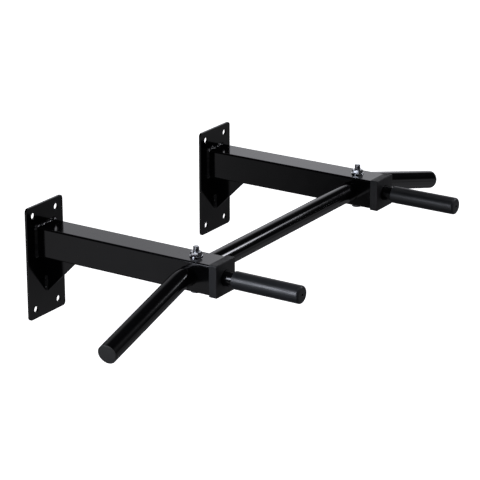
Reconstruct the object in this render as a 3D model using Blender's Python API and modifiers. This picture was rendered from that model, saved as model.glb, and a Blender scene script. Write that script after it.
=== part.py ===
"""Wall-mounted pull-up bar.

Two welded steel brackets hold one round bar whose ends bend down, and each arm ends in a short
forward handle with a soft grip. Units are metres, with +Z up. The wall is the plane Y = 0 and the
arms reach out along -Y. The origin is on the wall, midway between the arms, at their axes' height.
"""

import math

import bmesh
import bpy
from mathutils import Matrix, Vector

# Wall plates
PLATE_WIDTH = 0.095
PLATE_HEIGHT = 0.192
PLATE_THICKNESS = 0.004
PLATE_TOP_ABOVE_ARM_AXIS = 0.061
PLATE_CORNER_RADIUS = 0.006
SCREW_HOLE_DIAMETER = 0.011
SCREW_FROM_SIDE = 0.0175
SCREW_FROM_END = 0.016

# Square arms
BRACKET_SPACING = 0.500
ARM_SIZE = 0.050
ARM_WALL = 0.002
ARM_CORNER_RADIUS = 0.003
ARM_BORE_CORNER_RADIUS = 0.001
ARM_LENGTH = 0.345

# Gussets under the arms
GUSSET_THICKNESS = 0.004
GUSSET_REACH = 0.065
GUSSET_DROP = 0.0655
GUSSET_TOE = 0.004
GUSSET_CLIP_PAST_WELD = 0.002

# Weld beads, the gussets' being stitches at their toes
ARM_WELD_LEG = 0.004
GUSSET_WELD_LEG = 0.004
GUSSET_WELD_LENGTH = 0.028
HANDLE_WELD_LEG = 0.003
WELD_TOE = 0.0005
WELD_BULGE = 1.25

# Pull-up bar, its span measured over the plugs
BAR_SPAN = 1.000
BAR_DIAMETER = 0.0318
BAR_WALL = 0.002
BAR_FROM_ARM_END = 0.0513
BAR_STRAIGHT_PAST_ARM = 0.0063
BAR_BEND_RADIUS = 0.100
BAR_BEND_ANGLE = math.radians(14.2)
BAR_BEND_LEAN = math.radians(10.0)

# Barbed plugs in the ends of the bar
PLUG_FLANGE = 0.0025
PLUG_EDGE_RADIUS = 0.0008
PLUG_DEPTH = 0.018
PLUG_WALL = 0.0018
PLUG_BARB_HEIGHT = 0.0010
PLUG_BARBS = 3

# Handles
END_PLATE_THICKNESS = 0.004
END_PLATE_RECESS = 0.0045
HANDLE_TUBE_DIAMETER = 0.025
HANDLE_TUBE_WALL = 0.002
HANDLE_TUBE_INSIDE_ARM = 0.010

# Plastic sleeve caps over the arms' front ends
CAP_DEPTH = 0.0135
CAP_FRONT_WALL = 0.003
CAP_SIDE_WALL = 0.0014
CAP_CORNER_RADIUS = 0.002
CAP_EDGE_RADIUS = 0.0008

# Soft grips
GRIP_FROM_CAP = 0.0175
GRIP_LENGTH = 0.1205
GRIP_WALL = 0.0017
GRIP_END_WALL = 0.004
GRIP_END_RADIUS = 0.004
GRIP_MOUTH_RADIUS = 0.0008
GRIP_VENT_DIAMETER = 0.004

# Clamp bolts with their nuts and washers, M10
BOLT_DIAMETER = 0.010
BOLT_PAST_NUT = 0.0088
BOLT_POINT_CHAMFER = 0.001
BOLT_HEAD_HEIGHT = 0.0064
HEX_ACROSS_FLATS = 0.017
HEX_FACE_SHARE = 0.95
HEX_CHAMFER_ANGLE = math.radians(30.0)
NUT_HEIGHT = 0.006
NUT_TURN = math.radians(12.0)
WASHER_DIAMETER = 0.021
WASHER_THICKNESS = 0.0015

# Clearance between pieces that touch, how far a cutter stands past what it cuts, and how near two
# points are when they are one
GAP = 0.0003
CUT_MARGIN = 0.002
SAME_POINT = 0.00001

# Facets round a full turn and along a round edge
BAR_SIDES = 40
TUBE_SIDES = 32
BOLT_SIDES = 24
CORNER_STEPS = 4
BEND_STEPS = 6
EDGE_STEPS = 3
SMOOTH_ANGLE = math.radians(35.0)

BLACK_STEEL = (0.012, 0.012, 0.013)
BLACK_PLASTIC = (0.022, 0.022, 0.024)
BLACK_GRIP = (0.018, 0.018, 0.020)
BRIGHT_ZINC = (0.62, 0.63, 0.65)

# Turns that stand a piece drawn on the ground, or turned about Z, in its place
UPRIGHT = Matrix.Identity(4)
FACING_FRONT = Matrix.Rotation(math.radians(90.0), 4, "X")
FACING_SIDE = Matrix.Rotation(math.radians(-90.0), 4, "Z") @ FACING_FRONT
ALONG_WALL = Matrix.Rotation(math.radians(90.0), 4, "Y")


def arm_foot():
    """Distance from the wall to the arm's back end."""
    return PLATE_THICKNESS + GAP


def arm_end():
    """Distance from the wall to the arm's front end."""
    return arm_foot() + ARM_LENGTH


def bar_from_wall():
    return arm_end() - BAR_FROM_ARM_END


def cap_front():
    return arm_end() + GAP + CAP_FRONT_WALL


def end_plate_front():
    return arm_end() - END_PLATE_RECESS


def arm_bore():
    return ARM_SIZE - 2 * ARM_WALL


def grip_diameter():
    return HANDLE_TUBE_DIAMETER + 2 * (GAP + GRIP_WALL)


def gusset_clip():
    """How far the gusset's inner corner is cut back to pass the arm's weld."""
    return ARM_WELD_LEG + GUSSET_CLIP_PAST_WELD


def hex_corner_radius():
    return HEX_ACROSS_FLATS / 2 / math.cos(math.radians(30.0))


def bolt_bearing_height():
    """Distance from the arm's axis to the faces of the nut and the bolt's head that bear on the washers."""
    return ARM_SIZE / 2 + GAP + WASHER_THICKNESS + GAP


def bolt_length():
    """Length under the bolt's head: through both washers, the arm and the nut, and what stands past it."""
    return 2 * bolt_bearing_height() + NUT_HEIGHT + BOLT_PAST_NUT


class Workshop:
    """The collections and finishes that the pieces share, and the bracket that is being built."""

    def __init__(self):
        for obj in list(bpy.data.objects):
            bpy.data.objects.remove(obj)
        self.parts = self.collection("wall_mounted_pull_up_bar")
        self.cutters = self.collection("cutters")
        self.bracket = None

    def collection(self, name):
        made = bpy.data.collections.new(name)
        bpy.context.scene.collection.children.link(made)
        return made

    def start_bracket(self, name, x):
        """Everything made after this is placed relative to the wall point behind that arm."""
        self.bracket = bpy.data.objects.new(name, None)
        self.bracket.empty_display_size = ARM_SIZE
        self.bracket.location = (x, 0.0, 0.0)
        self.parts.objects.link(self.bracket)

    def add(self, name, data, collection, matrix=UPRIGHT):
        obj = bpy.data.objects.new(name, data)
        collection.objects.link(obj)
        obj.parent = self.bracket
        obj.matrix_local = matrix
        return obj

    def part(self, name, data, matrix=UPRIGHT):
        return self.add(name, data, self.parts, matrix)

    def cutter(self, name, data, matrix=UPRIGHT):
        obj = self.add(name, data, self.cutters, matrix)
        obj.hide_render = True
        obj.display_type = "WIRE"
        return obj


def finish(obj, colour, roughness, metallic):
    """Gives a piece its own material and shades its round faces smooth."""
    material = bpy.data.materials.new(obj.name)
    material.use_nodes = True
    material.diffuse_color = (*colour, 1.0)
    shader = material.node_tree.nodes["Principled BSDF"]
    shader.inputs["Base Color"].default_value = (*colour, 1.0)
    shader.inputs["Roughness"].default_value = roughness
    shader.inputs["Metallic"].default_value = metallic
    obj.data.materials.append(material)
    obj.data.shade_smooth()
    obj.data.set_sharp_from_angle(angle=SMOOTH_ANGLE)
    return obj


def powder_coated(obj):
    return finish(obj, BLACK_STEEL, 0.15, 0.0)


def moulded(obj):
    return finish(obj, BLACK_PLASTIC, 0.5, 0.0)


def zinc_plated(obj):
    return finish(obj, BRIGHT_ZINC, 0.3, 1.0)


def closed_mesh(name, build):
    """The mesh of a finished bmesh, welded, with its faces pointing out."""
    bmesh.ops.remove_doubles(build, verts=build.verts, dist=SAME_POINT)
    bmesh.ops.recalc_face_normals(build, faces=build.faces)
    mesh = bpy.data.meshes.new(name)
    build.to_mesh(mesh)
    build.free()
    return mesh


def mesh_of(name, data, modify=None):
    """The closed mesh that a curve, or a mesh with one modifier, makes."""
    helper = bpy.data.objects.new(name, data)
    bpy.context.scene.collection.objects.link(helper)
    if modify:
        modify(helper)
    bpy.context.view_layer.update()
    graph = bpy.context.evaluated_depsgraph_get()
    build = bmesh.new()
    build.from_mesh(bpy.data.meshes.new_from_object(helper.evaluated_get(graph)))
    bpy.data.objects.remove(helper)
    return closed_mesh(name, build)


def cut(obj, cutter, operation="DIFFERENCE"):
    modifier = obj.modifiers.new(cutter.name, "BOOLEAN")
    modifier.operation = operation
    modifier.solver = "EXACT"
    modifier.object = cutter


def rounded_square(width, height, radius):
    """Corner points of a rectangle with round corners, centred on the origin."""
    points = []
    for corner, (side, end) in enumerate(((1, 1), (-1, 1), (-1, -1), (1, -1))):
        x = side * (width / 2 - radius)
        y = end * (height / 2 - radius)
        for step in range(CORNER_STEPS + 1):
            angle = math.radians(90.0) * (corner + step / CORNER_STEPS)
            points.append((x + radius * math.cos(angle), y + radius * math.sin(angle)))
    return points


def circle(diameter, sides, x=0.0, y=0.0):
    points = []
    for side in range(sides):
        angle = 2 * math.pi * side / sides
        points.append((x + diameter / 2 * math.cos(angle), y + diameter / 2 * math.sin(angle)))
    return points


def flat_cut(name, loops, thickness):
    """A flat outline of the first loop, with the other loops as holes, extruded both ways."""
    curve = bpy.data.curves.new(name, "CURVE")
    curve.dimensions = "2D"
    curve.fill_mode = "BOTH"
    curve.extrude = thickness / 2
    for loop in loops:
        spline = curve.splines.new("POLY")
        spline.points.add(len(loop) - 1)
        for point, (x, y) in zip(spline.points, loop):
            point.co = (x, y, 0.0, 1.0)
        spline.use_cyclic_u = True
    return mesh_of(name, curve)


def rod(name, points, diameter, sides):
    """A round rod along a line of points, with flat ends."""
    curve = bpy.data.curves.new(name, "CURVE")
    curve.dimensions = "3D"
    curve.bevel_depth = diameter / 2
    curve.bevel_resolution = (sides - 4) // 2
    curve.use_fill_caps = True
    spline = curve.splines.new("POLY")
    spline.points.add(len(points) - 1)
    for point, place in zip(spline.points, points):
        point.co = (*place, 1.0)
    return mesh_of(name, curve)


def cylinder(name, diameter, length, sides):
    build = bmesh.new()
    bmesh.ops.create_cone(
        build, cap_ends=True, segments=sides, radius1=diameter / 2, radius2=diameter / 2, depth=length
    )
    return closed_mesh(name, build)


def turned(name, profile, sides):
    """A piece turned about Z from points (radius, height) that run down its outer side."""
    build = bmesh.new()
    verts = [build.verts.new((radius, 0.0, height)) for radius, height in profile]
    ends = list(zip(verts, verts[1:]))
    if profile[0][0] > 0.0:
        ends.append((verts[-1], verts[0]))
    for pair in ends:
        build.edges.new(pair)
    mesh = bpy.data.meshes.new(name)
    build.to_mesh(mesh)
    build.free()

    def turn(helper):
        screw = helper.modifiers.new("turn", "SCREW")
        screw.axis = "Z"
        screw.steps = sides
        screw.render_steps = sides
        screw.use_merge_vertices = True
        screw.merge_threshold = SAME_POINT

    return mesh_of(name, mesh, turn)


def round_edge(radius, height, edge, start, end):
    """Points of a round edge of a turned profile about a centre, between two angles in degrees."""
    points = []
    for step in range(EDGE_STEPS + 1):
        angle = math.radians(start + (end - start) * step / EDGE_STEPS)
        points.append((radius + edge * math.cos(angle), height + edge * math.sin(angle)))
    return points


def lofted_block(name, sections):
    """A block along Z through rounded squares, each given as (size, corner radius, height)."""
    build = bmesh.new()
    for size, radius, height in sections:
        ring = [build.verts.new((x, y, height)) for x, y in rounded_square(size, size, radius)]
        for pair in zip(ring, ring[1:] + ring[:1]):
            build.edges.new(pair)
    rings = build.edges[:]
    count = 4 * (CORNER_STEPS + 1)
    for start in range(0, len(rings) - count, count):
        bmesh.ops.bridge_loops(build, edges=rings[start : start + 2 * count])
    bmesh.ops.holes_fill(build, edges=[edge for edge in build.edges if edge.is_boundary])
    return closed_mesh(name, build)


def weld_face(leg):
    """The slightly bulging face of a fillet weld, as (out along the plate, up the piece) points."""
    points = []
    for step in range(EDGE_STEPS + 1):
        angle = math.radians(90.0) * step / EDGE_STEPS
        out = max(math.cos(angle), 0.0) ** (2 / WELD_BULGE)
        up = math.sin(angle) ** (2 / WELD_BULGE)
        points.append((WELD_TOE + (leg - WELD_TOE) * out, leg * up))
    return points


def make_wall_plate(shop, side):
    """Steel plate with rounded corners and a screw hole near each corner."""
    loops = [rounded_square(PLATE_WIDTH, PLATE_HEIGHT, PLATE_CORNER_RADIUS)]
    hole_x = PLATE_WIDTH / 2 - SCREW_FROM_SIDE
    hole_z = PLATE_HEIGHT / 2 - SCREW_FROM_END
    for x in (-hole_x, hole_x):
        for z in (-hole_z, hole_z):
            loops.append(circle(SCREW_HOLE_DIAMETER, BOLT_SIDES, x, z))
    name = side + "_wall_plate"
    centre = (0.0, -PLATE_THICKNESS / 2, PLATE_TOP_ABOVE_ARM_AXIS - PLATE_HEIGHT / 2)
    mesh = flat_cut(name, loops, PLATE_THICKNESS)
    powder_coated(shop.part(name, mesh, Matrix.Translation(centre) @ FACING_FRONT))


def make_arm_tube(shop, side):
    """Square tube with round holes for the bar and for the clamp bolt."""
    loops = [
        rounded_square(ARM_SIZE, ARM_SIZE, ARM_CORNER_RADIUS),
        rounded_square(arm_bore(), arm_bore(), ARM_BORE_CORNER_RADIUS),
    ]
    name = side + "_arm_tube"
    centre = (0.0, -(arm_foot() + ARM_LENGTH / 2), 0.0)
    mesh = flat_cut(name, loops, ARM_LENGTH)
    arm = powder_coated(shop.part(name, mesh, Matrix.Translation(centre) @ FACING_FRONT))
    hole_centre = Matrix.Translation((0.0, -bar_from_wall(), 0.0))
    length = ARM_SIZE + 2 * CUT_MARGIN
    bar_hole = cylinder(side + "_bar_hole", BAR_DIAMETER + 2 * GAP, length, BAR_SIDES)
    bolt_hole = cylinder(side + "_bolt_hole", BOLT_DIAMETER + 2 * GAP, length, BOLT_SIDES)
    cut(arm, shop.cutter(side + "_bar_hole", bar_hole, hole_centre @ ALONG_WALL))
    cut(arm, shop.cutter(side + "_bolt_hole", bolt_hole, hole_centre))


def make_arm_weld(shop, side):
    """Fillet weld round the arm's foot: a tapering block with the room for the arm cut out of it."""
    clear = ARM_SIZE + 2 * GAP
    radius = ARM_CORNER_RADIUS + GAP
    sections = [(clear + 2 * out, radius + out, up) for out, up in weld_face(ARM_WELD_LEG)]
    name = side + "_arm_weld"
    place = Matrix.Translation((0.0, -arm_foot(), 0.0)) @ FACING_FRONT
    weld = powder_coated(shop.part(name, lofted_block(name, sections), place))
    depth = 2 * (ARM_WELD_LEG + CUT_MARGIN)
    room = flat_cut(name + "_room", [rounded_square(clear, clear, radius)], depth)
    cut(weld, shop.cutter(name + "_room", room, place))


def make_gusset(shop, side):
    """Triangular web with blunt toes, its inner corner clipped to pass the arm's weld."""
    wall = arm_foot()
    under = -(ARM_SIZE / 2 + GAP)
    clip = gusset_clip()
    outline = [
        (wall + clip, under),
        (wall, under - clip),
        (wall, under - GUSSET_DROP),
        (wall + GUSSET_TOE, under - GUSSET_DROP),
        (wall + GUSSET_REACH, under - GUSSET_TOE),
        (wall + GUSSET_REACH, under),
    ]
    name = side + "_gusset"
    powder_coated(shop.part(name, flat_cut(name, [outline], GUSSET_THICKNESS), FACING_SIDE))


def make_gusset_welds(shop, side, face, label):
    """The two stitches on one face of the gusset: at its toe on the plate, and at its toe on the arm."""
    wall = arm_foot()
    under = ARM_SIZE / 2 + GAP
    web = GUSSET_THICKNESS / 2 + GAP
    corner = [(web, 0.0)] + [(web + up, out) for up, out in weld_face(GUSSET_WELD_LEG)]
    corner.append((web, GUSSET_WELD_LEG))

    name = side + "_gusset_plate_weld_" + label
    section = [(face * x, -(wall + y)) for x, y in corner]
    middle = Matrix.Translation((0.0, 0.0, -(under + GUSSET_DROP - GUSSET_WELD_LENGTH / 2)))
    powder_coated(shop.part(name, flat_cut(name, [section], GUSSET_WELD_LENGTH), middle))

    name = side + "_gusset_arm_weld_" + label
    section = [(face * x, -(under + y)) for x, y in corner]
    middle = (0.0, -(wall + GUSSET_REACH - GUSSET_WELD_LENGTH / 2), 0.0)
    bead = flat_cut(name, [section], GUSSET_WELD_LENGTH)
    powder_coated(shop.part(name, bead, Matrix.Translation(middle) @ FACING_FRONT))


def make_end_plate(shop, side):
    """Plate set into the arm's mouth, bored for the handle tube."""
    size = arm_bore() - 2 * GAP
    hole = HANDLE_TUBE_DIAMETER + 2 * GAP
    loops = [rounded_square(size, size, ARM_CORNER_RADIUS), circle(hole, TUBE_SIDES)]
    name = side + "_end_plate"
    centre = (0.0, -(end_plate_front() - END_PLATE_THICKNESS / 2), 0.0)
    mesh = flat_cut(name, loops, END_PLATE_THICKNESS)
    powder_coated(shop.part(name, mesh, Matrix.Translation(centre) @ FACING_FRONT))


def make_handle_tube(shop, side):
    """Round tube through the end plate, reaching to the closed end of the grip."""
    start = end_plate_front() - END_PLATE_THICKNESS - HANDLE_TUBE_INSIDE_ARM
    end = cap_front() + GRIP_FROM_CAP + GRIP_LENGTH - GRIP_END_WALL - GAP
    bore = HANDLE_TUBE_DIAMETER - 2 * HANDLE_TUBE_WALL
    loops = [circle(HANDLE_TUBE_DIAMETER, TUBE_SIDES), circle(bore, TUBE_SIDES)]
    name = side + "_handle_tube"
    centre = (0.0, -(start + end) / 2, 0.0)
    mesh = flat_cut(name, loops, end - start)
    powder_coated(shop.part(name, mesh, Matrix.Translation(centre) @ FACING_FRONT))


def make_handle_weld(shop, side):
    """Ring of weld round the handle tube, on the front of the end plate."""
    inside = HANDLE_TUBE_DIAMETER / 2 + GAP
    face = [(inside + out, up) for out, up in weld_face(HANDLE_WELD_LEG)]
    profile = [(inside, HANDLE_WELD_LEG), *reversed(face), (inside, 0.0)]
    name = side + "_handle_weld"
    place = Matrix.Translation((0.0, -(end_plate_front() + GAP), 0.0)) @ FACING_FRONT
    powder_coated(shop.part(name, turned(name, profile, TUBE_SIDES), place))


def make_arm_cap(shop, side):
    """Sleeve cap with a square pocket for the arm, a round hole for the handle and a soft front edge."""
    pocket = ARM_SIZE + 2 * GAP
    size = pocket + 2 * CAP_SIDE_WALL
    sections = [(size, CAP_CORNER_RADIUS, 0.0)]
    for inset, height in round_edge(0.0, CAP_DEPTH - CAP_EDGE_RADIUS, CAP_EDGE_RADIUS, 0.0, 90.0):
        drawn_in = CAP_EDGE_RADIUS - inset
        sections.append((size - 2 * drawn_in, CAP_CORNER_RADIUS - drawn_in, height))
    name = side + "_arm_cap"
    back = Matrix.Translation((0.0, -(cap_front() - CAP_DEPTH), 0.0)) @ FACING_FRONT
    cap = moulded(shop.part(name, lofted_block(name, sections), back))
    pocket_depth = CAP_DEPTH - CAP_FRONT_WALL
    room = flat_cut(
        name + "_pocket",
        [rounded_square(pocket, pocket, ARM_CORNER_RADIUS + GAP)],
        pocket_depth + CUT_MARGIN,
    )
    middle = Matrix.Translation((0.0, 0.0, (pocket_depth - CUT_MARGIN) / 2))
    cut(cap, shop.cutter(name + "_pocket", room, back @ middle))
    depth = 2 * (CAP_DEPTH + CUT_MARGIN)
    hole = cylinder(name + "_hole", HANDLE_TUBE_DIAMETER + 2 * GAP, depth, TUBE_SIDES)
    cut(cap, shop.cutter(name + "_hole", hole, back))


def make_grip(shop, side):
    """Soft sleeve with a closed, rounded end that has a small vent hole."""
    outer = grip_diameter() / 2
    inner = HANDLE_TUBE_DIAMETER / 2 + GAP
    vent = GRIP_VENT_DIAMETER / 2
    end_centre = outer - GRIP_END_RADIUS
    mouth_centre = outer - GRIP_MOUTH_RADIUS
    profile = [
        (vent, GRIP_LENGTH),
        *round_edge(end_centre, GRIP_LENGTH - GRIP_END_RADIUS, GRIP_END_RADIUS, 90.0, 0.0),
        *round_edge(mouth_centre, GRIP_MOUTH_RADIUS, GRIP_MOUTH_RADIUS, 0.0, -90.0),
        (inner, 0.0),
        (inner, GRIP_LENGTH - GRIP_END_WALL),
        (vent, GRIP_LENGTH - GRIP_END_WALL),
    ]
    name = side + "_grip"
    mouth = Matrix.Translation((0.0, -(cap_front() + GRIP_FROM_CAP), 0.0)) @ FACING_FRONT
    grip = shop.part(name, turned(name, profile, TUBE_SIDES), mouth)
    finish(grip, BLACK_GRIP, 0.35, 0.0)


def hex_limit(height, both_ends):
    """Turned profile that leaves a hexagon its conical chamfers."""
    face = HEX_ACROSS_FLATS / 2 * HEX_FACE_SHARE
    widest = hex_corner_radius() + CUT_MARGIN
    drop = (widest - face) * math.tan(HEX_CHAMFER_ANGLE)
    lower = [(widest, drop), (face, 0.0)] if both_ends else [(widest, -CUT_MARGIN)]
    return [(0.0, height), (face, height), (widest, height - drop), *lower, (0.0, lower[-1][1])]


def hexagon(name, height):
    """Hexagonal prism standing on the plane Z = 0."""
    build = bmesh.new()
    bmesh.ops.create_cone(
        build,
        cap_ends=True,
        segments=6,
        radius1=hex_corner_radius(),
        radius2=hex_corner_radius(),
        depth=height,
        matrix=Matrix.Translation((0.0, 0.0, height / 2)),
    )
    return closed_mesh(name, build)


def make_clamp_nut(shop, side):
    """Thin nut, turned on the bolt as it was left when it was tightened."""
    name = side + "_clamp_nut"
    bearing = Matrix.Translation((0.0, -bar_from_wall(), bolt_bearing_height()))
    place = bearing @ Matrix.Rotation(NUT_TURN, 4, "Z")
    nut = zinc_plated(shop.part(name, hexagon(name, NUT_HEIGHT), place))
    limit = turned(name + "_limit", hex_limit(NUT_HEIGHT, True), BOLT_SIDES)
    cut(nut, shop.cutter(name + "_limit", limit, place), "INTERSECT")
    depth = 2 * (NUT_HEIGHT + CUT_MARGIN)
    bore = cylinder(name + "_bore", BOLT_DIAMETER + 2 * GAP, depth, BOLT_SIDES)
    cut(nut, shop.cutter(name + "_bore", bore, place))


def make_clamp_bolt(shop, side):
    """Bolt that comes up through the arm and the bar, its chamfered hexagonal head underneath."""
    name = side + "_clamp_bolt"
    bearing = Matrix.Translation((0.0, -bar_from_wall(), -bolt_bearing_height()))
    head_down = bearing @ Matrix.Rotation(math.radians(180.0), 4, "X")
    bolt = zinc_plated(shop.part(name, hexagon(name, BOLT_HEAD_HEIGHT), head_down))
    limit = turned(name + "_limit", hex_limit(BOLT_HEAD_HEIGHT, False), BOLT_SIDES)
    cut(bolt, shop.cutter(name + "_limit", limit, head_down), "INTERSECT")
    radius = BOLT_DIAMETER / 2
    tip = bolt_length()
    shank = turned(
        name + "_shank",
        [
            (0.0, tip),
            (radius - BOLT_POINT_CHAMFER, tip),
            (radius, tip - BOLT_POINT_CHAMFER),
            (radius, -BOLT_HEAD_HEIGHT / 2),
            (0.0, -BOLT_HEAD_HEIGHT / 2),
        ],
        BOLT_SIDES,
    )
    cut(bolt, shop.cutter(name + "_shank", shank, bearing), "UNION")


def make_washers(shop, side):
    """Flat washers between the arm and the nut, and between the arm and the bolt's head."""
    bore = BOLT_DIAMETER / 2 + GAP
    rim = WASHER_DIAMETER / 2
    profile = [(bore, WASHER_THICKNESS), (rim, WASHER_THICKNESS), (rim, 0.0), (bore, 0.0)]
    for name, height in (
        (side + "_washer_upper", ARM_SIZE / 2 + GAP),
        (side + "_washer_lower", -(ARM_SIZE / 2 + GAP + WASHER_THICKNESS)),
    ):
        place = Matrix.Translation((0.0, -bar_from_wall(), height))
        zinc_plated(shop.part(name, turned(name, profile, BOLT_SIDES), place))


def make_bracket(shop, side, sign):
    """One welded bracket with its handle and its clamp bolt. Sign is -1 on the left, 1 on the right."""
    shop.start_bracket(side + "_bracket", sign * BRACKET_SPACING / 2)
    make_wall_plate(shop, side)
    make_arm_tube(shop, side)
    make_arm_weld(shop, side)
    make_gusset(shop, side)
    make_gusset_welds(shop, side, -sign, "inner")
    make_gusset_welds(shop, side, sign, "outer")
    make_end_plate(shop, side)
    make_handle_tube(shop, side)
    make_handle_weld(shop, side)
    make_arm_cap(shop, side)
    make_grip(shop, side)
    make_clamp_bolt(shop, side)
    make_washers(shop, side)
    make_clamp_nut(shop, side)
    shop.bracket = None


def bar_bend_plane():
    """The way the bar's ends lean as they drop: down, and a little forward."""
    return Vector((0.0, -math.sin(BAR_BEND_LEAN), -math.cos(BAR_BEND_LEAN)))


def bar_end_direction(sign):
    across = Vector((sign * math.cos(BAR_BEND_ANGLE), 0.0, 0.0))
    return across + bar_bend_plane() * math.sin(BAR_BEND_ANGLE)


def bar_half(sign, past_end=0.0):
    """Points on the bar's axis from the start of a bend to the end of the tube on that side."""
    centre = Vector((0.0, -bar_from_wall(), 0.0))
    start = BRACKET_SPACING / 2 + ARM_SIZE / 2 + BAR_STRAIGHT_PAST_ARM
    points = []
    for step in range(BEND_STEPS + 1):
        angle = BAR_BEND_ANGLE * step / BEND_STEPS
        along = start + BAR_BEND_RADIUS * math.sin(angle)
        drop = BAR_BEND_RADIUS * (1 - math.cos(angle))
        points.append(centre + Vector((sign * along, 0.0, 0.0)) + bar_bend_plane() * drop)
    reach = (BAR_SPAN / 2 - abs(points[-1].x)) / math.cos(BAR_BEND_ANGLE)
    tube_end = reach - PLUG_FLANGE - GAP + past_end
    points.append(points[-1] + bar_end_direction(sign) * tube_end)
    return points


def make_pull_up_bar(shop):
    """Long round tube with bent ends, drilled crosswise for the two clamp bolts."""
    name = "pull_up_bar"
    axis = bar_half(-1)[::-1] + bar_half(1)
    bar = powder_coated(shop.part(name, rod(name, axis, BAR_DIAMETER, BAR_SIDES)))
    bore_axis = bar_half(-1, CUT_MARGIN)[::-1] + bar_half(1, CUT_MARGIN)
    bore = rod(name + "_bore", bore_axis, BAR_DIAMETER - 2 * BAR_WALL, BAR_SIDES)
    cut(bar, shop.cutter(name + "_bore", bore))
    for side, sign in (("left", -1), ("right", 1)):
        drill = side + "_bar_drill"
        hole = cylinder(drill, BOLT_DIAMETER + 2 * GAP, BAR_DIAMETER + 2 * CUT_MARGIN, BOLT_SIDES)
        place = Matrix.Translation((sign * BRACKET_SPACING / 2, -bar_from_wall(), 0.0))
        cut(bar, shop.cutter(drill, hole, place))


def make_bar_plug(shop, side, sign):
    """Hollow plug with a flush flange and barbs that hold in the bar's bore."""
    outer = BAR_DIAMETER / 2
    barb = BAR_DIAMETER / 2 - BAR_WALL - GAP
    core = barb - PLUG_BARB_HEIGHT
    profile = [(0.0, PLUG_FLANGE)]
    edge = PLUG_EDGE_RADIUS
    profile += round_edge(outer - edge, PLUG_FLANGE - edge, edge, 90.0, 0.0)
    profile += [(outer, 0.0), (core, 0.0)]
    pitch = PLUG_DEPTH / (PLUG_BARBS + 1)
    for number in range(1, PLUG_BARBS + 1):
        height = -pitch * number
        profile += [(core, height + pitch / 4), (barb, height + pitch / 4), (core, height - pitch / 2)]
    profile += [(core, -PLUG_DEPTH), (core - PLUG_WALL, -PLUG_DEPTH), (core - PLUG_WALL, 0.0), (0.0, 0.0)]
    name = side + "_bar_plug"
    direction = bar_end_direction(sign)
    place = Matrix.Translation(bar_half(sign)[-1] + direction * GAP)
    turn = direction.to_track_quat("Z", "Y").to_matrix().to_4x4()
    moulded(shop.part(name, turned(name, profile, TUBE_SIDES), place @ turn))


def main():
    shop = Workshop()
    for side, sign in (("left", -1), ("right", 1)):
        make_bracket(shop, side, sign)
    make_pull_up_bar(shop)
    for side, sign in (("left", -1), ("right", 1)):
        make_bar_plug(shop, side, sign)


main()
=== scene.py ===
"""Wall-mounted pull-up bar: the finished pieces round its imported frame, and a plain studio.

Lengths are in metres in the frame's own axes: the wall is the plane Y = 0, the arms reach out
along -Y, and +Z is up. The left bracket, at -X, is nearer to the camera.
"""

import math

import bmesh
import bpy
from bmesh import ops
from bmesh.types import BMEdge, BMVert
from bpy.props import FloatProperty, FloatVectorProperty, IntProperty, PointerProperty
from bpy.types import Operator, Panel, PropertyGroup
from mathutils import Matrix, Vector, noise


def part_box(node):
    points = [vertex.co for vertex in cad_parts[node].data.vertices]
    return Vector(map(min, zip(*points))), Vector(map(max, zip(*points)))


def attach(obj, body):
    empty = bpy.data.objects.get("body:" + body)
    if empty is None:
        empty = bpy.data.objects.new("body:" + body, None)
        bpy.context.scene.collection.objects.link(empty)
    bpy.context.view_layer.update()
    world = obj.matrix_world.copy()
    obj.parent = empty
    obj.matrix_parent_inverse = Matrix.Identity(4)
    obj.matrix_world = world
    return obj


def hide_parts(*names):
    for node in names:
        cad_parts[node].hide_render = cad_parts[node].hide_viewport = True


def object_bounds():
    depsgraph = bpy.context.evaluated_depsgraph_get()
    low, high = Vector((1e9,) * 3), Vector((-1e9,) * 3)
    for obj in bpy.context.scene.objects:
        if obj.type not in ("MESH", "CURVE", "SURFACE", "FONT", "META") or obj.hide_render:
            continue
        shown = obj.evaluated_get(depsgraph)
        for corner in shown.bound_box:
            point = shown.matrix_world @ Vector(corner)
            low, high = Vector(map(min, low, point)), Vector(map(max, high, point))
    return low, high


bl_info = {
    "name": "Wall-mounted pull-up bar",
    "version": (1, 0, 0),
    "blender": (4, 5, 0),
    "location": "3D View > Sidebar > Pull-up bar",
    "description": "Builds a finished pull-up bar round its packed frame",
    "category": "Object",
}

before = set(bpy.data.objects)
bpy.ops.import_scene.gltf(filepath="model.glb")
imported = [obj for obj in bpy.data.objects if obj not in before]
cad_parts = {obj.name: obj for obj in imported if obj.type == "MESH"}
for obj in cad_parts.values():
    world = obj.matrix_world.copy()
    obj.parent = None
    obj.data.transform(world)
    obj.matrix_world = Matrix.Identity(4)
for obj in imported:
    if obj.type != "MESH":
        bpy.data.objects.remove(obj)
PACKED_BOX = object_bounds()

SIDES = {"left": -1, "right": 1}
COATED, MOULDED = "powder_coated_steel", "moulded_plastic"
RUBBERY, PLATED = "soft_grip", "zinc_plated_steel"
NAME_ENDS = {COATED: "_coated", MOULDED: "_moulded", RUBBERY: "_soft", PLATED: "_plated"}
MM = 0.001
WELDED = 1e-6  # points nearer than this are one point
THROUGH = 0.1  # length of a drill bit that goes right through any piece
FACING = 0.9  # least part of a normal that counts as facing one way
QUARTER = math.radians(90.0)
FACING_FRONT = Matrix.Rotation(QUARTER, 4, "X")
ALONG_WALL = Matrix.Rotation(QUARTER, 4, "Y")
ABOUT_Z = {"cent": (0.0, 0.0, 0.0), "axis": (0.0, 0.0, 1.0)}
shift = Matrix.Translation
ACROSS, AHEAD, DOWN = Vector((1, 0, 0)), Vector((0, -1, 0)), Vector((0, 0, -1))


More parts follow.
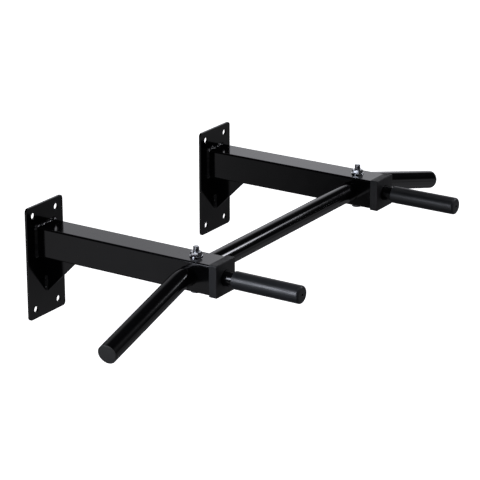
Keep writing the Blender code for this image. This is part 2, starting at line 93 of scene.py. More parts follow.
def srgb(code):
    """Linear red, green and blue of an sRGB hex colour."""
    channels = [int(code[at : at + 2], 16) / 255 for at in (1, 3, 5)]
    return tuple(c / 12.92 if c <= 0.04045 else ((c + 0.055) / 1.055) ** 2.4 for c in channels)


def middle(node):
    low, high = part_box(node)
    return (low + high) / 2


def extent(node):
    low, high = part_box(node)
    return high - low


def length(name, description, millimetres):
    shown = {"unit": "LENGTH", "precision": 5, "min": 0.0}
    return FloatProperty(name=name, description=description, default=millimetres * MM, **shown)


def angle(name, description, degrees):
    radians = math.radians(degrees)
    return FloatProperty(name=name, description=description, default=radians, subtype="ANGLE")


def colour(name, description, code):
    shown = {"subtype": "COLOR", "min": 0.0, "max": 1.0}
    return FloatVectorProperty(name=name, description=description, default=srgb(code), **shown)


def count(name, description, default):
    return IntProperty(name=name, description=description, default=default, min=24, max=256)


class BracketSizes(PropertyGroup):
    """Sizes of the welded brackets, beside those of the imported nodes."""

    plate_corner: length("Plate corner radius", "Round corners of the wall plates", 6.0)
    screw_hole: length("Screw hole", "Diameter of the screw holes", 11.0)
    screw_from_side: length("Screw from side", "Hole centre to the plate's long edge", 17.5)
    screw_from_end: length("Screw from end", "Hole centre to the plate's short edge", 16.0)
    plate_rim: length("Plate rim", "Rounding of the plate's rims", 0.8)
    arm_wall: length("Arm wall", "Wall of the arm tube", 2.0)
    arm_corner: length("Arm corner radius", "Outside corner of the arm tube", 3.0)
    hole_rim: length("Hole rim", "Rounding of the drilled holes' rims", 0.4)
    clearance: length("Clearance", "Gap between pieces that touch", 0.3)
    seam: length("Seam", "What the coat leaves of a gap", 0.02)
    gusset_toe: length("Gusset toe", "Blunt toe of the gusset's two points", 3.0)
    gusset_clip: length("Gusset clip", "Corner cut for the arm's weld", 6.0)
    gusset_rim: length("Gusset rim", "Rounding of the gusset's cut edges", 0.6)
    weld_pitch: length("Weld ripple pitch", "From ripple to ripple of a bead", 3.0)
    weld_step: length("Weld step", "From section to section of a bead", 0.45)
    weld_wander: length("Weld wander", "Run over which a bead swells and thins", 7.2)


class BarSizes(PropertyGroup):
    """Sizes of the long bar and its plugs."""

    diameter: length("Diameter", "Outside diameter of the bar", 31.8)
    wall: length("Wall", "Wall of the bar's tube", 2.0)
    span: length("Span", "From disc to disc of the plugs", 1000.0)
    straight_past_arm: length("Straight past arm", "Straight run past each arm", 6.3)
    bend_radius: length("Bend radius", "Radius of the bends on the bar's axis", 100.0)
    bend: angle("Bend", "How far each end turns from the straight", 14.2)
    lean: angle("Lean", "How far the bent ends lean forward", 10.0)
    plug_flange: length("Plug flange", "Thickness of the plug's flange", 2.5)
    plug_inset: length("Plug inset", "From the tube's rim to the flange's", 0.06)
    plug_rim: length("Plug rim", "Rounding of the flange's rim", 0.8)
    plug_depth: length("Plug depth", "How far the plug reaches into the bar", 18.0)
    plug_wall: length("Plug wall", "Wall of the plug's hollow core", 1.8)
    plug_barbs: length("Plug barbs", "Room for barbs round the core", 1.0)
    sides: count("Sides", "Faces round the bar", 96)


class HandleSizes(PropertyGroup):
    """Sizes of the handles, grips and arm caps."""

    tube_wall: length("Tube wall", "Wall of the handle tube", 2.0)
    tube_rim: length("Tube rim", "Rounding of the handle tube's ends", 0.3)
    cap_side_wall: length("Cap side wall", "Wall of the sleeve cap round the arm", 1.4)
    cap_front_wall: length("Cap front wall", "Wall of the sleeve cap's front", 3.0)
    cap_corner: length("Cap corner radius", "Long corners of the sleeve cap", 2.0)
    cap_rim: length("Cap rim", "Rounding of the cap's front rim", 0.8)
    hole_rim: length("Hole rim", "Rounding of cap and grip holes", 0.5)
    grip_end: length("Grip end", "Rounding of the grip's closed end", 4.0)
    grip_mouth: length("Grip mouth", "Rounding of the grip's open end", 0.8)
    grip_end_wall: length("Grip end wall", "Wall of the grip's closed end", 4.0)
    vent: length("Vent hole", "Hole in the grip's end", 4.0)
    sides: count("Sides", "Faces round a grip", 72)


class FastenerSizes(PropertyGroup):
    """Sizes of the M10 clamp bolts, nuts and washers."""

    diameter: length("Bolt diameter", "Outside diameter of the thread", 10.0)
    root: length("Thread root", "Diameter at the thread's bottom", 8.3)
    pitch: length("Pitch", "From turn to turn of the thread", 1.5)
    threaded: length("Threaded length", "Length that has a thread", 24.0)
    point: length("Point chamfer", "Chamfer at the bolt's point", 1.0)
    across_flats: length("Across flats", "Hexagon of nut and bolt head", 17.0)
    turned_face: length("Turned face", "Round flat inside the chamfer", 16.15)
    chamfer: angle("Chamfer", "Slope of the hexagon's chamfer", 30.0)
    head: length("Head height", "Height of the bolt's head", 6.4)
    bore_rim: length("Bore rim", "Rounding of the nut's bore", 0.4)
    washer_rim: length("Washer rim", "Rounding of the washers' rims", 0.3)
    left_turn: angle("Left nut turn", "How the left nut stands", 16.5)
    right_turn: angle("Right nut turn", "How the right nut stands", 12.0)


class Finishes(PropertyGroup):
    """Colours of the finishes."""

    coat: colour("Powder coat", "Gloss black powder coat", "#070708")
    nib: colour("Dust nibs", "Pale dust caught in the coat", "#3A3A3C")
    cap: colour("Cap plastic", "Black polyethylene of the caps", "#0A0B0D")
    plug: colour("Plug plastic", "Black polyethylene of the plugs", "#252524")
    grip: colour("Grip", "Black soft vinyl of the grips", "#15171A")
    zinc: colour("Zinc", "Bright zinc plate", "#CACCD0")
    paper: colour("Floor", "White seamless paper", "#FFFFFF")


class StageSizes(PropertyGroup):
    """Where the camera stands, and the floor."""

    azimuth: angle("Azimuth", "Camera's turn, 0 in front", -57.2)
    elevation: angle("Elevation", "Camera's height above the horizon", 19.399)
    roll: angle("Roll", "Camera's turn about its sight line", -0.044)
    distance: length("Distance", "From the camera to its aim", 3606.93)
    lens: FloatProperty(name="Lens", description="Focal length in millimetres", default=163.58)
    aim: FloatVectorProperty(
        name="Aim", description="What the camera looks at", default=(-0.02313, -0.23244, -0.02821)
    )
    floor_below: length("Floor below", "Floor's depth under the object", 450.0)
    floor_width: length("Floor width", "Width of the floor", 30000.0)


GROUPS = {
    "bracket": BracketSizes, "bar": BarSizes, "handle": HandleSizes,
    "fastener": FastenerSizes, "finish": Finishes, "stage": StageSizes,
}


def sizes(group):
    return getattr(bpy.context.scene, "pull_up_bar_" + group)


def clearance():
    return sizes("bracket").clearance


def added(name, data):
    """A new object in the scene."""
    made = bpy.data.objects.new(name, data)
    bpy.context.scene.collection.objects.link(made)
    return made


# Materials


def blank_tree(owner):
    owner.use_nodes = True
    owner.node_tree.nodes.clear()
    return owner.node_tree


def add_node(tree, kind, inputs=None, **settings):
    """Adds a node with its settings. An input is a value, a socket or a node to link to."""
    node = tree.nodes.new("ShaderNode" + kind)
    for name, value in settings.items():
        setattr(node, name, value)
    for key, value in (inputs or {}).items():
        if isinstance(value, bpy.types.Node):
            value = next(socket for socket in value.outputs if socket.enabled)
        if isinstance(value, bpy.types.NodeSocket):
            tree.links.new(value, node.inputs[key])
        else:
            node.inputs[key].default_value = value
    return node


def ramped(tree, *ramps):
    """Multiplies soft ramps, each with its value, start, end, level before and level after."""
    names = ("Value", "From Min", "From Max", "To Min", "To Max")
    product = 1.0
    for ramp in ramps:
        level = add_node(tree, "MapRange", dict(zip(names, ramp)), interpolation_type="SMOOTHSTEP")
        product = add_node(tree, "Math", {0: product, 1: level}, operation="MULTIPLY")
    return product


def finish(name, base, grains, drawn):
    """The material of that name, drawn at its first use.

    The grains are noises by name, with their size in millimetres, detail and roughness. The
    function that draws gets them, and returns the share and the linear value of the second colour
    and the other inputs of the shader.
    """
    made = bpy.data.materials.get(name)
    if made:
        return made
    made = bpy.data.materials.new(name)
    tree = blank_tree(made)
    place = add_node(tree, "TexCoord").outputs["Object"]
    noises = {}
    for grain, (across, detail, rough) in grains.items():
        look = {"Scale": 1 / (across * MM), "Detail": detail, "Roughness": rough}
        noises[grain] = add_node(tree, "TexNoise", {"Vector": place, **look})
    share, second, inputs = drawn(tree, **noises)
    colours = {"Factor": share, "A": (*base, 1.0), "B": (*second, 1.0)}
    shade = add_node(tree, "Mix", colours, data_type="RGBA")
    shader = add_node(tree, "BsdfPrincipled", {"Base Color": shade, **inputs})
    add_node(tree, "OutputMaterial", {"Surface": shader})
    return made


def powder_coat(over=""):
    """Gloss polyester powder coat, sprayed and baked on steel.

    It gives the eye a deep black that mirrors what is near it, with a faint orange peel of lumps 2
    to 3 mm across, slow changes of gloss along a tube, and a few pale dust nibs, drawn about a
    millimetre across so that they show. Over a bead it also follows the lumps of a weld laid flat,
    which break a highlight into specks.
    """
    colours = sizes("finish")
    glossiest, dullest = (0.06, 0.09) if over else (0.10, 0.14)

    def drawn(tree, cure, peel, lumps):
        nib = ramped(tree, (lumps, 0.885, 0.91, 0.0, 1.0))
        gloss = ramped(tree, (cure, 0.3, 0.7, glossiest, dullest))
        skin = {"Strength": 0.25, "Distance": 0.02 * MM, "Height": peel}
        if over:
            facing = add_node(tree, "NewGeometry").outputs["True Normal"]
            upward = add_node(tree, "SeparateXYZ", {"Vector": facing}).outputs["Z"]
            flat_run = ramped(tree, (upward, 0.1, 0.35, 0.0, 1.0))
            bead = {"Strength": flat_run, "Distance": 1.7 * MM, "Height": lumps}
            skin["Normal"] = add_node(tree, "Bump", bead)
        dulled = add_node(tree, "Math", {0: gloss, 1: nib}, operation="ADD")
        inputs = {"IOR": 1.5, "Roughness": dulled, "Normal": add_node(tree, "Bump", skin)}
        return nib, colours.nib, inputs

    name = "Powder coat, gloss black, sprayed and baked" + over
    grains = {"cure": (40.0, 3.0, 0.5), "peel": (2.6, 1.0, 0.5), "lumps": (3.4, 0.0, 0.5)}
    return finish(name, colours.coat, grains, drawn)


def moulded_plastic(piece, dull):
    """Polyethylene from a spark-eroded mould.

    It gives the eye a matt surface, near black on the caps and dark grey on the plugs, which are
    rubbed a little smoother here and there. Its sandy grain is really about 0.1 mm across, and is
    drawn 1.1 mm across so that it shows.
    """
    base = getattr(sizes("finish"), piece)

    def drawn(tree, sand, rub):
        bump = add_node(tree, "Bump", {"Strength": 0.5, "Distance": 0.10 * MM, "Height": sand})
        dullness = ramped(tree, (rub, 0.3, 0.7, dull - 0.06, dull + 0.06))
        pale = [min(1.0, c * 1.6) for c in base]
        inputs = {"IOR": 1.5, "Roughness": dullness, "Normal": bump}
        return ramped(tree, (sand, 0.35, 0.75, 0.0, 1.0)), pale, inputs

    grains = {"sand": (1.1, 2.0, 0.6), "rub": (14.0, 3.0, 0.5)}
    return finish("Polyethylene, matt black, injection moulded " + piece, base, grains, drawn)


def soft_vinyl():
    """Plasticised vinyl, dipped and cured.

    It gives the eye a satin, faintly blue black with the slow ripple of a dipped coat. Its pores
    are really too fine to show, and are drawn 1.6 mm across.
    """
    base = sizes("finish").grip

    def drawn(tree, wave, rub, pores):
        wavy = add_node(tree, "Bump", {"Strength": 0.5, "Distance": 0.25 * MM, "Height": wave})
        skin = {"Strength": 0.3, "Distance": 0.05 * MM, "Height": pores, "Normal": wavy}
        dullness = ramped(tree, (rub, 0.3, 0.7, 0.38, 0.45))
        inputs = {"IOR": 1.5, "Roughness": dullness, "Normal": add_node(tree, "Bump", skin)}
        return ramped(tree, (pores, 0.4, 0.8, 0.0, 1.0)), [c * 1.5 for c in base], inputs

    grains = {"wave": (14.0, 2.0, 0.5), "rub": (30.0, 3.0, 0.5), "pores": (1.6, 2.0, 0.6)}
    return finish("Soft vinyl, satin black, dip moulded", base, grains, drawn)


def bright_zinc():
    """Zinc plated on steel in a bath and clear passivated.

    It gives the eye a bright grey metal with faint clouds. Its fine scratches are drawn 0.6 mm
    apart so that they show.
    """
    base = sizes("finish").zinc

    def drawn(tree, cloud, fine):
        bump = add_node(tree, "Bump", {"Strength": 0.3, "Distance": 0.02 * MM, "Height": fine})
        dullness = ramped(tree, (cloud, 0.3, 0.75, 0.08, 0.18))
        inputs = {"Metallic": 1.0, "Roughness": dullness, "Normal": bump}
        return ramped(tree, (cloud, 0.35, 0.7, 0.0, 1.0)), [c * 0.72 for c in base], inputs

    grains = {"cloud": (3.0, 3.0, 0.6), "fine": (0.6, 2.0, 0.5)}
    return finish("Zinc plate, bright, bath plated", base, grains, drawn)


def seamless_paper():
    """White background paper: matt, and lit so brightly that its fibres are all but lost."""
    base = sizes("finish").paper

    def drawn(tree, fibre):
        glow = {"Emission Color": (*base, 1.0), "Emission Strength": 1.0}
        return fibre, [c * 0.97 for c in base], {"Roughness": 0.9, **glow}

    return finish("Seamless paper, white, overlit", base, {"fibre": (4.0, 2.0, 0.5)}, drawn)


# Shapes


def only(kind, items):
    return [item for item in items if isinstance(item, kind)]


def open_rims(shape):
    return [edge for edge in shape.edges if edge.is_boundary]


def bevel(shape, geom, radius, segments, affect="EDGES"):
    ops.bevel(
        shape, geom=geom, offset=radius, affect=affect, segments=segments, profile=0.5,
        clamp_overlap=True, material=-1,
    )


def soften(shape, radius, segments, pick=None, sharper_than=50.0):
    """Rounds the sharp edges of a shape, or those of them whose middles pick chooses."""
    limit = math.radians(sharper_than)
    sharp = [edge for edge in shape.edges if edge.is_manifold and edge.calc_face_angle() > limit]
    if pick:
        sharp = [edge for edge in sharp if pick((edge.verts[0].co + edge.verts[1].co) / 2)]
    bevel(shape, sharp, radius, segments)
    return shape


def on_ring(radius, height):
    """Picks the edges round a circle about Z, whose middles lie a little inside it."""
    slack = 0.01
    return lambda at: abs(at.z - height) < WELDED and abs(at.xy.length / radius - 1.0) < slack


def healed(shape):
    """Joins the points that meet, and turns all faces outward."""
    ops.remove_doubles(shape, verts=shape.verts, dist=WELDED)
    ops.recalc_face_normals(shape, faces=shape.faces)
    return shape


def place(shape, matrix):
    ops.transform(shape, matrix=matrix, verts=shape.verts)
    return shape


def upright_at(node):
    """Where a piece turned about Z stands: the middle of its node's lower side."""
    low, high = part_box(node)
    return shift(((low.x + high.x) / 2, (low.y + high.y) / 2, low.z))


def forward_from(node):
    """Where a piece turned about Z points forward from: the middle of its node's wall side."""
    low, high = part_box(node)
    return shift(((low.x + high.x) / 2, high.y, (low.z + high.z) / 2)) @ FACING_FRONT


def thicken(shape, thickness):
    """Pulls every flat face of a drawing up by a thickness."""
    pulled = ops.extrude_face_region(shape, geom=shape.faces[:])["geom"]
    ops.translate(shape, vec=(0.0, 0.0, thickness), verts=only(BMVert, pulled))
    ops.recalc_face_normals(shape, faces=shape.faces)
    return shape


def rounded_plate(extents, size, holes):
    """A plate on the plane Z = 0, with round corners and screw holes."""
    width, height, thickness = extents
    shape = bmesh.new()
    ops.create_grid(shape, x_segments=1, y_segments=1, size=0.5)
    ops.scale(shape, vec=(width, height, 1.0), verts=shape.verts)
    bevel(shape, shape.verts[:], size.plate_corner, 10, "VERTICES")
    ops.delete(shape, geom=shape.faces[:], context="FACES_ONLY")
    for x, y in holes:
        at = shift((x, y, 0.0))
        ops.create_circle(shape, segments=40, radius=size.screw_hole / 2, matrix=at)
    ops.triangle_fill(shape, use_beauty=True, use_dissolve=False, edges=shape.edges[:])
    return thicken(shape, thickness)


def rounded_bar(size, corner, segments):
    """A block centred on the origin whose edges along Y are rounded."""
    shape = bmesh.new()
    ops.create_cube(shape, size=1.0)
    ops.scale(shape, vec=size, verts=shape.verts)
    return soften(shape, corner, segments, lambda at: abs(at.y) < WELDED)


def inset(shape, faces, wall):
    ops.inset_region(shape, faces=faces, thickness=wall, use_boundary=True, use_even_offset=True)


def turned(profile, sides, closed=False):
    """A piece turned about Z from points (radius, height)."""
    shape = bmesh.new()
    verts = [shape.verts.new((radius, 0.0, height)) for radius, height in profile]
    pairs = list(zip(verts, verts[1:])) + ([(verts[-1], verts[0])] if closed else [])
    edges = [shape.edges.new(pair) for pair in pairs]
    ops.spin(shape, geom=verts + edges, angle=2 * math.pi, steps=sides, use_merge=True, **ABOUT_Z)
    return healed(shape)


def rod(diameter, long, sides, matrix):
    """A prism whose axis is the matrix's Z, with its middle at the matrix's place."""
    shape = bmesh.new()
    round_by = {"segments": sides, "radius1": diameter / 2, "radius2": diameter / 2}
    ops.create_cone(shape, cap_ends=True, depth=long, matrix=matrix, **round_by)
    return shape


def as_mesh(name, shape):
    """Turns a shape into a mesh, and frees it."""
    mesh = bpy.data.meshes.new(name)
    shape.to_mesh(mesh)
    shape.free()
    return mesh


def carve(shape, tool, operation="DIFFERENCE"):
    """Cuts a tool's shape out of a shape, or keeps what both share."""
    bodies = []
    for part in (shape, tool):
        ops.recalc_face_normals(part, faces=part.faces)
        bodies.append(added("carving", as_mesh("carving", part)))
    modifier = bodies[0].modifiers.new("carving", "BOOLEAN")
    modifier.operation = operation
    modifier.solver = "EXACT"
    modifier.object = bodies[1]
    graph = bpy.context.evaluated_depsgraph_get()
    graph.update()
    carved = bmesh.new()
    result = bodies[0].evaluated_get(graph)
    carved.from_mesh(result.to_mesh())
    result.to_mesh_clear()
    for body in bodies:
        mesh = body.data
        bpy.data.objects.remove(body)
        bpy.data.meshes.remove(mesh)
    if not carved.faces:
        raise RuntimeError("the carved shape has nothing left")
    return healed(carved)


def finished(node, shape, material, slot, smooth=35.0, flatten=True):
    """Makes a shape the piece that stands for a node, and lets it ride the frame.

    Faces that meet at less than smooth degrees are shaded as one, and flatten keeps large flat
    faces flat up to their rounded edges.
    """
    ops.recalc_face_normals(shape, faces=shape.faces)
    name = node + NAME_ENDS[slot]
    mesh = as_mesh(name, shape)
    mesh.materials.append(material)
    mesh.shade_smooth()
    mesh.set_sharp_from_angle(angle=math.radians(smooth))
    piece = added(name, mesh)
    if flatten:
        weighted = piece.modifiers.new("flat faces stay flat", "WEIGHTED_NORMAL")
        weighted.keep_sharp = True
        weighted.weight = 100
    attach(piece, "root")
    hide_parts(node)
    return piece


# Welds

BEAD_FACE = ((1.0, 0.0), (0.90, 0.20), (0.70, 0.45), (0.45, 0.70), (0.20, 0.90), (0.0, 1.0))
THINNEST, PLAIN, RIPPLED, WANDERED = 0.62, 0.80, 0.06, 0.44  # shares of a bead's full leg
CALM, CALMED = 0.86, 0.3  # a bead's size on an upright run, and the share of its changes left
BLUNT_END = 0.25  # share of its full leg that a bead starts with
HOLLOWED = 1.7  # bends the back of a ripple's tooth
CLOSING = 0.05 * MM  # how near the end of a round comes to its start
CORNER_STEPS = 6
STITCHES = (("plate", DOWN, AHEAD, 7.3), ("arm", AHEAD, DOWN, 11.7))  # joint, way, out, seed
ROUND_SEED = 3.1
WELD_SHADING = {"smooth": 60.0, "flatten": False}


def bead_section(leg):
    """Points (out along the plate, up the piece) of a fillet weld with a bulging face."""
    return [(0.0, 0.0)] + [(leg * out, leg * up) for out, up in BEAD_FACE]


def pull_on(shape, edges, move):
    """Pulls edges on by a matrix, and returns the new vertices and the new edges."""
    pulled = ops.extrude_edge_only(shape, edges=edges)["geom"]
    verts = only(BMVert, pulled)
    ops.transform(shape, matrix=move, verts=verts)
    fresh = set(verts)
    return verts, [edge for edge in only(BMEdge, pulled) if fresh.issuperset(edge.verts)]


def lay_bead(shape, section, moves):
    """Draws a closed section along a list of moves, and returns its rings of vertices."""
    verts = [shape.verts.new(point) for point in section]
    edges = [shape.edges.new(pair) for pair in zip(verts, verts[1:] + verts[:1])]
    rings = [verts]
    for move in moves:
        verts, edges = pull_on(shape, edges, move)
        rings.append(verts)
    return rings


def ripple(at, size, pitch, seed):
    """How full a bead is at a distance along it, from saw-toothed ripples and a slow wander."""
    tooth = 1.0 - (at / pitch % 1.0) ** HOLLOWED
    wander = noise.noise(Vector((at / size.weld_wander, seed, 0.5)))
    return max(THINNEST, min(1.0, PLAIN + RIPPLED * tooth + WANDERED * wander))


def swell(shape, ring, root, factor):
    ops.scale(shape, vec=(factor,) * 3, space=shift(-root), verts=ring)


def straight_bead(start, way, out, up, leg, reach, size, seed):
    """A fillet weld along a straight joint, with ends that taper off."""
    shape = bmesh.new()
    section = [start + out * a + up * b for a, b in bead_section(leg)]
    steps = max(8, round(reach / size.weld_step))
    rings = lay_bead(shape, section, [shift(way * (reach / steps))] * steps)
    for number, ring in enumerate(rings):
        at = reach * number / steps
        from_end = max(min(at, reach - at) / leg, 0.0)
        taper = min(1.0, BLUNT_END + math.sqrt(from_end))
        swell(shape, ring, start + way * at, taper * ripple(at, size, size.weld_pitch, seed))
    ops.holes_fill(shape, edges=open_rims(shape))
    return shape


def ring_bead(centre, half, corner, leg, size, seed):
    """A fillet weld all round a square tube that stands along -Y at the centre."""
    shape = bmesh.new()
    root = centre + DOWN * half
    section = [root + AHEAD * up + DOWN * out for out, up in bead_section(leg)]
    run = half - corner
    steps = round(run / size.weld_step)
    turn, stride = QUARTER / CORNER_STEPS, run / steps
    moves = [(Matrix.Identity(4), 0.0)]
    for quarter in range(4):
        side = Matrix.Rotation(-quarter * QUARTER, 4, "Y")
        way = side @ ACROSS
        onward = Matrix.Rotation(-QUARTER, 4, "Y") @ way
        pivot = centre + side @ Vector((run, 0.0, -run))
        around = shift(pivot) @ Matrix.Rotation(-turn, 4, "Y") @ shift(-pivot)
        moves += [(shift(way * stride), stride)] * steps
        moves += [(around, turn * (corner + leg / 2))] * CORNER_STEPS
        moves += [(shift(onward * stride), stride)] * steps
    rings = lay_bead(shape, section, [move for move, gone in moves[1:]])
    whole = sum(gone for move, gone in moves)
    pitch = whole / round(whole / size.weld_pitch)
    overlap = 4 * size.weld_pitch  # over which the end of the round takes on its start's ripple
    at = 0.0
    for ring, (move, gone) in zip(rings, moves):
        at += gone
        root = move @ root
        blend = min(1.0, (whole - at) / overlap)
        factor = ripple(at, size, pitch, seed) * blend
        factor += ripple(at - whole, size, pitch, seed) * (1 - blend)
        if abs(root.z - centre.z) < run:
            factor = CALM + CALMED * (factor - CALM)
        swell(shape, ring, root, factor)
    ops.remove_doubles(shape, verts=rings[0] + rings[-1], dist=CLOSING)
    return shape


# Operators


class AddWallPlates(Operator):
    """Steel plates with four screw holes each, their rims softened by the coat."""

    bl_idname = "pull_up_bar.wall_plates"
    bl_label = "Wall plates"

    def execute(self, context):
        size = sizes("bracket")
        for side in SIDES:
            node = side + "_wall_plate"
            width, thickness, height = extent(node)
            x, y = width / 2 - size.screw_from_side, height / 2 - size.screw_from_end
            holes = ((-x, -y), (-x, y), (x, -y), (x, y))
            shape = rounded_plate((width, height, thickness), size, holes)
            soften(shape, size.plate_rim, 3)
            place(shape, forward_from(node))
            finished(node, shape, powder_coat(), COATED)
        return {"FINISHED"}


class AddArms(Operator):
    """Square tubes with rolled corners, drilled for the bar and for the clamp bolt."""

    bl_idname = "pull_up_bar.arms"
    bl_label = "Arms"

    def execute(self, context):
        size = sizes("bracket")
        bar_hole = sizes("bar").diameter + 2 * size.clearance
        bolt_hole = sizes("fastener").diameter + 2 * size.clearance
        for side in SIDES:
            node = side + "_arm_tube"
            shape = rounded_bar(extent(node), size.arm_corner, 8)
            ends = [face for face in shape.faces if abs(face.normal.y) > FACING]
            inset(shape, ends, size.arm_wall)
            ops.delete(shape, geom=ends, context="FACES_ONLY")
            ops.bridge_loops(shape, edges=open_rims(shape))
            place(shape, shift(middle(node)))
            hole_at = shift(middle(side + "_clamp_nut").xy.to_3d())
            shape = carve(shape, rod(bar_hole, THROUGH, 72, hole_at @ ALONG_WALL))
            shape = carve(shape, rod(bolt_hole, THROUGH, 40, hole_at))
            soften(shape, size.hole_rim, 2)
            finished(node, shape, powder_coat(), COATED)
        return {"FINISHED"}


class AddGussets(Operator):
    """Triangular webs under the arms; the coat fills the seams where they meet arm and plate."""

    bl_idname = "pull_up_bar.gussets"
    bl_label = "Gussets"

    def execute(self, context):
        size = sizes("bracket")
        toe, clip = size.gusset_toe, size.gusset_clip
        for side in SIDES:
            node = side + "_gusset"
            low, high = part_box(node)
            high = high + Vector((0.0, 1.0, 1.0)) * (size.clearance - size.seam)
            outline = [(high.y - clip, high.z), (high.y, high.z - clip), (high.y, low.z)]
            outline += [(high.y - toe, low.z), (low.y, high.z - toe), (low.y, high.z)]
            shape = bmesh.new()
            corners = [shape.verts.new((y, z, 0.0)) for y, z in outline]
            ops.contextual_create(shape, geom=corners)
            thicken(shape, high.x - low.x)
            soften(shape, size.gusset_rim, 3, sharper_than=80.0)
            place(shape, Matrix(((0, 0, 1, low.x), (1, 0, 0, 0), (0, 1, 0, 0), (0, 0, 0, 1))))
            finished(node, shape, powder_coat(), COATED)
        return {"FINISHED"}


class AddWelds(Operator):
    """Rippled fillet welds round the arms' feet, and stitches on both faces of the gussets."""

    bl_idname = "pull_up_bar.welds"
    bl_label = "Welds"

    def execute(self, context):
        size = sizes("bracket")
        coat = powder_coat(" over a weld bead")
        for side, sign in SIDES.items():
            node = side + "_arm_weld"
            foot = forward_from(node).translation
            arm = extent(side + "_arm_tube").x / 2 + size.clearance
            corner, leg = size.arm_corner + size.clearance, extent(node).x / 2 - arm
            shape = ring_bead(foot, arm, corner, leg, size, ROUND_SEED + sign)
            finished(node, shape, coat, COATED, **WELD_SHADING)
            for face, label in ((-sign, "inner"), (sign, "outer")):
                for joint, way, out, seed in STITCHES:
                    node = f"{side}_gusset_{joint}_weld_{label}"
                    low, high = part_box(node)
                    start = Vector((low.x if face > 0 else high.x, high.y, high.z))
                    leg, reach = high.x - low.x, abs((high - low).dot(way))
                    ways, seed = (way, out, ACROSS * face), seed + sign + face
                    shape = straight_bead(start, *ways, leg, reach, size, seed)
                    finished(node, shape, coat, COATED, **WELD_SHADING)
        return {"FINISHED"}


def bar_right_end(bar):
    """Start, centre and axis of the right bend, the way and reach from its end, and that end."""
    drop = Vector((0.0, -math.sin(bar.lean), -math.cos(bar.lean)))
    axis = ACROSS.cross(drop)
    arm_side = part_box("right_arm_tube")[1].x
    start = Vector((arm_side + bar.straight_past_arm, middle("right_clamp_nut").y, 0.0))
    centre = start + drop * bar.bend_radius
    turn = Matrix.Rotation(bar.bend, 4, axis)
    bent = centre + turn @ (start - centre)
    reach = (bar.span / 2 - bent.x) / math.cos(bar.bend) - bar.plug_flange
    return start, centre, axis, turn @ ACROSS, reach, bent


class AddPullUpBar(Operator):
    """The long round tube, straight through both arms and bent down at each end."""

    bl_idname = "pull_up_bar.bar"
    bl_label = "Pull-up bar"

    def execute(self, context):
        bar = sizes("bar")
        start, centre, axis, way, reach = bar_right_end(bar)[:5]
        shape = bmesh.new()
        upright = shift((0.0, start.y, 0.0)) @ ALONG_WALL
        ops.create_circle(shape, segments=bar.sides, radius=bar.diameter / 2, matrix=upright)
        verts, rim = pull_on(shape, shape.edges[:], shift((start.x, 0.0, 0.0)))
        bend = ops.spin(shape, geom=verts + rim, cent=centre, axis=axis, angle=bar.bend, steps=12)
        tube_end = shift(way * (reach - clearance()))
        pull_on(shape, only(BMEdge, bend["geom_last"]), tube_end)
        half = shape.verts[:] + shape.edges[:] + shape.faces[:]
        ops.mirror(shape, geom=half, axis="X", merge_dist=WELDED)
        healed(shape)
        ops.solidify(shape, geom=shape.faces[:], thickness=bar.wall)
        finished("pull_up_bar", shape, powder_coat(), COATED, flatten=False)
        return {"FINISHED"}


class AddBarPlugs(Operator):
    """Moulded plugs whose flanges close the bar's ends flush."""

    bl_idname = "pull_up_bar.bar_plugs"
    bl_label = "Bar plugs"

    def execute(self, context):
        bar = sizes("bar")
        way, reach, bent = bar_right_end(bar)[3:]
        outer = bar.diameter / 2 - bar.plug_inset
        core = bar.diameter / 2 - bar.wall - clearance() - bar.plug_barbs
        hollow, top, tip = core - bar.plug_wall, bar.plug_flange, -bar.plug_depth
        profile = [(0.0, top), (outer, top), (outer, 0.0), (core, 0.0)]
        profile += [(core, tip), (hollow, tip), (hollow, 0.0), (0.0, 0.0)]
        for side, sign in SIDES.items():
            shape = turned(profile, bar.sides)
            soften(shape, bar.plug_rim, 4, on_ring(outer, top))
            flip = Vector((sign, 1.0, 1.0))
            turn = (way * flip).to_track_quat("Z", "Y").to_matrix().to_4x4()
            place(shape, shift((bent + way * reach) * flip) @ turn)
            finished(side + "_bar_plug", shape, moulded_plastic("plug", 0.60), MOULDED)
        return {"FINISHED"}


class AddHandleTubes(Operator):
    """Round tubes that carry the grips, showing between cap and grip."""

    bl_idname = "pull_up_bar.handle_tubes"
    bl_label = "Handle tubes"

    def execute(self, context):
        size = sizes("handle")
        for side in SIDES:
            node = side + "_handle_tube"
            outer, deep = extent(node).x / 2, extent(node).y
            inner = outer - size.tube_wall
            wall = [(inner, 0.0), (outer, 0.0), (outer, deep), (inner, deep)]
            shape = soften(turned(wall, size.sides, True), size.tube_rim, 2)
            place(shape, forward_from(node))
            finished(node, shape, powder_coat(), COATED)
        return {"FINISHED"}


class AddArmCaps(Operator):
    """Moulded sleeve caps over the arms' ends, with a hole for the handle tube."""

    bl_idname = "pull_up_bar.arm_caps"
    bl_label = "Arm caps"

    def execute(self, context):
        size = sizes("handle")
        for side in SIDES:
            node = side + "_arm_cap"
            width, depth, height = extent(node)
            shape = rounded_bar((width, depth, height), size.cap_corner, 6)
            soften(shape, size.cap_rim, 4, lambda at: at.y < WELDED - depth / 2)
            back = [face for face in shape.faces if face.normal.y > FACING]
            inset(shape, back, size.cap_side_wall)
            pulled = ops.extrude_face_region(shape, geom=back)["geom"]
            inward = Vector((0.0, size.cap_front_wall - depth, 0.0))
            ops.translate(shape, vec=inward, verts=only(BMVert, pulled))
            spare = [face for face in back if face.is_valid]
            ops.delete(shape, geom=spare, context="FACES_ONLY")
            hole = extent(side + "_handle_tube").x + 2 * clearance()
            shape = carve(shape, rod(hole, THROUGH, 72, FACING_FRONT))
            soften(shape, size.hole_rim, 3, lambda at: at.xz.length < width / 3)
            place(shape, shift(middle(node)))
            finished(node, shape, moulded_plastic("cap", 0.52), MOULDED)
        return {"FINISHED"}


